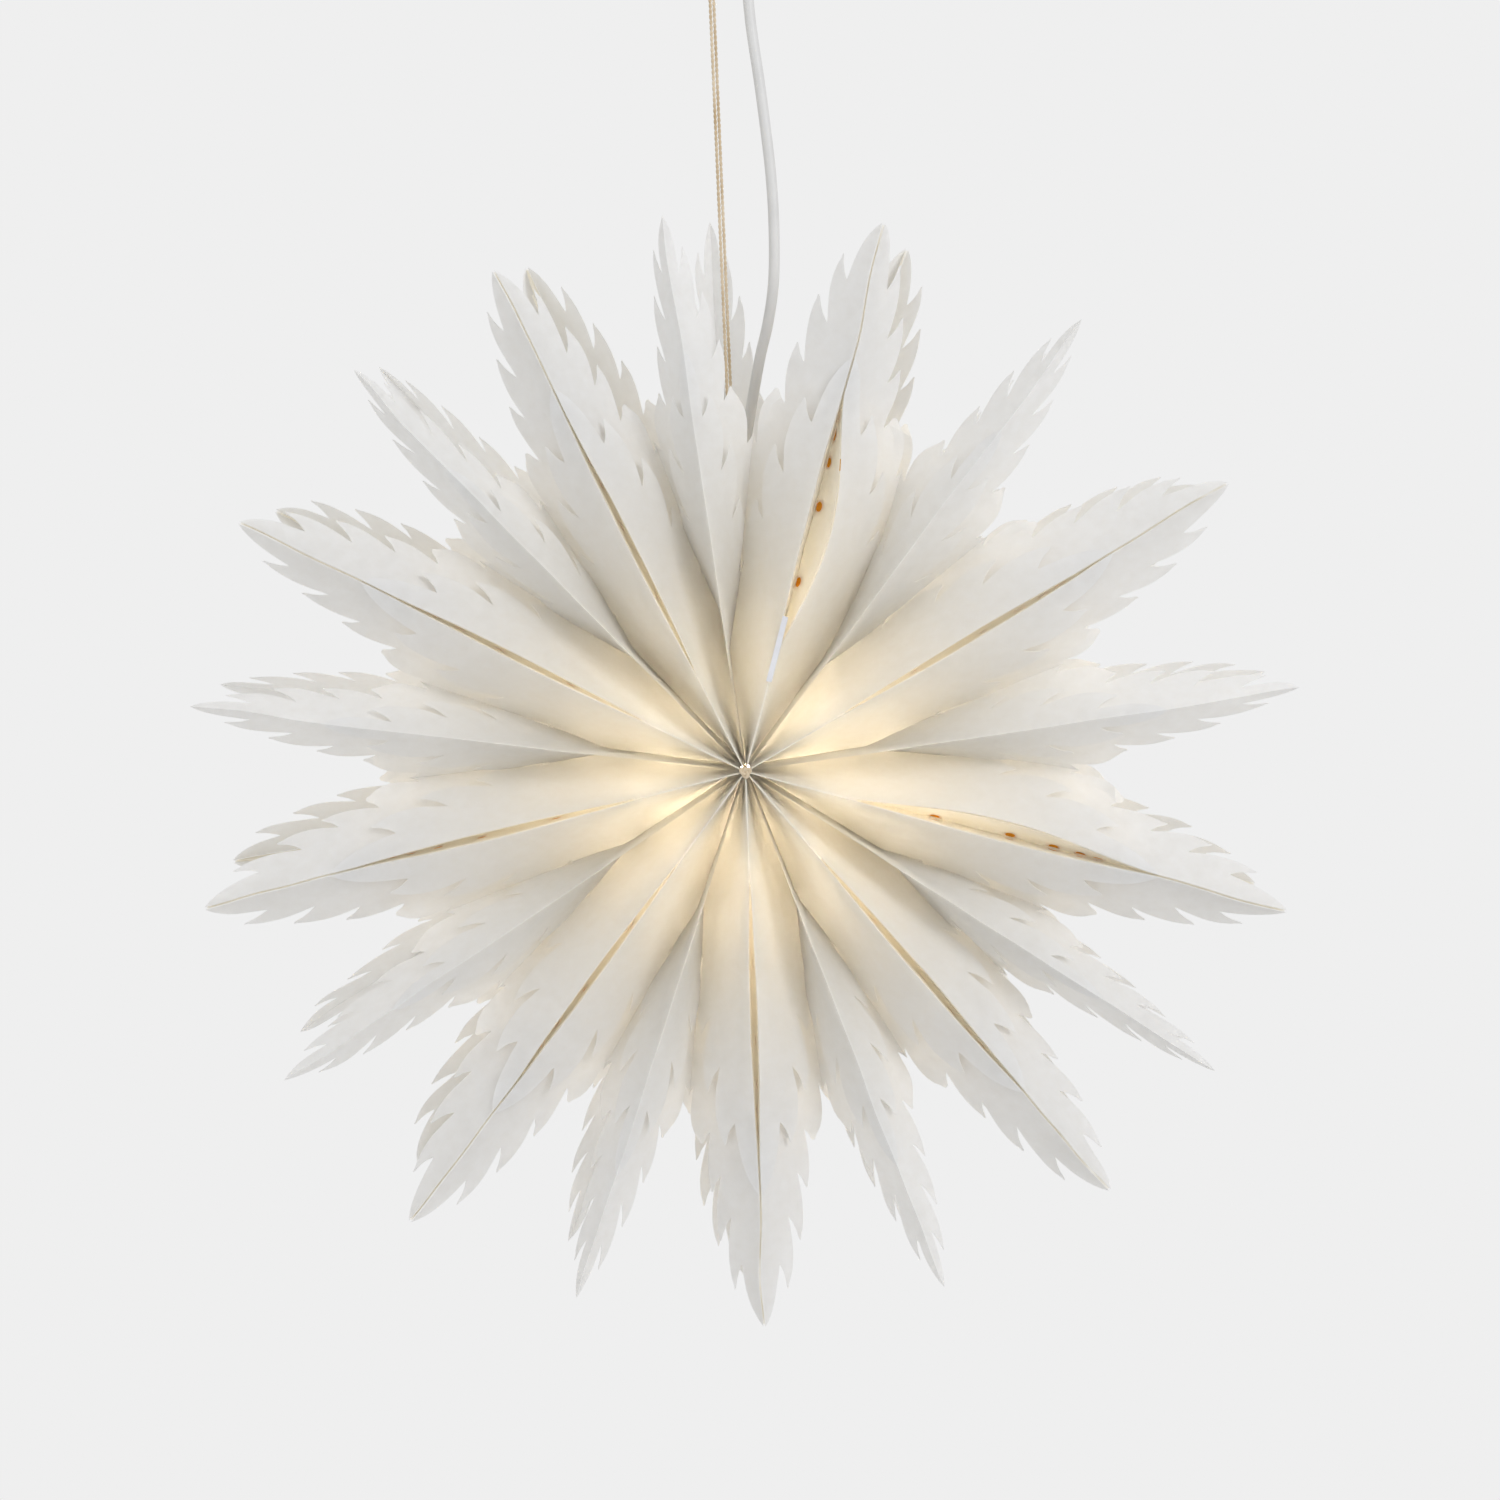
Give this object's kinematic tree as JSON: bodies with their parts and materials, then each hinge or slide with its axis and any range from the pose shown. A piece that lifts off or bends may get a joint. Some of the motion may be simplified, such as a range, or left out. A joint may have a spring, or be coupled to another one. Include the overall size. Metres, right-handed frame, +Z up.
{
  "type": "paper star lantern",
  "caption": "Folded paper star lantern with feathered rays, hung by a doubled string below a ceiling rose, a screw-in bulb and its holder inside on a mains cable.",
  "frame": {"origin": "middle of the ceiling plate's upper face, on the ceiling", "axes": "+Z up to the ceiling, the star's front faces -Y, +X to the viewer's right; the star's axis lies along Y, 510 mm below the origin"},
  "size_m": [0.5947, 0.1632, 0.81],
  "materials": {
    "paper": "thin matt white paper with folded creases, warm where the lamp shines through",
    "tape": "thin smooth bluish white tape",
    "string": "twisted beige cotton",
    "cable": "smooth white round mains cable",
    "holder": "white moulded plastic",
    "brass": "pressed sheet brass",
    "insulator": "dark moulded insulator",
    "opal": "opal white globe, lit from inside",
    "collar": "white moulded plastic",
    "shell": "pressed screw shell",
    "plate": "zinc plated pressed steel",
    "rose": "white moulded plastic",
    "hook": "white coated steel wire",
    "grip": "white nylon",
    "terminal": "natural nylon",
    "wires": "insulated cores, one brown and one blue"
  },
  "bodies": {
    "ceiling": {"ceiling_plate": "plate", "ceiling_rose": "rose", "ceiling_hook": "hook", "hook_collar": "rose", "cord_grip": "grip", "grip_nut": "grip", "terminal_block": "terminal", "core_wires": "wires"},
    "lantern": {"side_panels_1": "paper", "side_panels_2": "paper", "side_panels_3": "paper", "side_panels_4": "paper", "side_panels_5": "paper", "side_panels_6": "paper", "side_panels_7": "paper", "side_panels_8": "paper", "side_panels_9": "paper", "front_leaves_1": "paper", "front_leaves_2": "paper", "front_leaves_3": "paper", "front_leaves_4": "paper", "front_leaves_5": "paper", "front_leaves_6": "paper", "front_leaves_7": "paper", "front_leaves_8": "paper", "front_leaves_9": "paper", "back_leaves_1": "paper", "back_leaves_2": "paper", "back_leaves_3": "paper", "back_leaves_4": "paper", "back_leaves_5": "paper", "back_leaves_6": "paper", "back_leaves_7": "paper", "back_leaves_8": "paper", "back_leaves_9": "paper", "short_leaves_1": "paper", "short_leaves_2": "paper", "short_leaves_3": "paper", "short_leaves_4": "paper", "short_leaves_5": "paper", "short_leaves_6": "paper", "short_leaves_7": "paper", "short_leaves_8": "paper", "short_leaves_9": "paper", "seam_tape": "tape", "front_knot": "string", "back_knot": "string", "hanging_string": "string", "mains_cable": "cable", "holder_relief": "cable", "holder_cap": "holder", "holder_skirt": "holder", "holder_ring": "holder", "holder_shell": "brass", "holder_core": "insulator"},
    "bulb_foot": {"bulb_contact": "insulator"},
    "bulb": {"bulb_globe": "opal", "bulb_collar": "collar", "bulb_screw": "shell"}
  },
  "joints": [
    {"name": "lantern_swing", "type": "hinge", "parent": "ceiling", "child": "lantern", "pos_m": [0, 0, -0.06], "axis": [1, 0, 0], "range_deg": [-15, 15], "deforming": ["mains_cable"]},
    {"name": "bulb_travel", "type": "slide", "parent": "lantern", "child": "bulb_foot", "axis": [0, 0, -1], "range_m": [0, 0.0169]},
    {"name": "bulb_turn", "type": "hinge", "parent": "bulb_foot", "child": "bulb", "pos_m": [0, 0, -0.51], "axis": [0, 0, -1], "range_deg": [0, 2160]}
  ],
  "couplings": [
    {"joint": "bulb_turn", "follows": "bulb_travel", "rad_per_m": 2228.1}
  ]
}
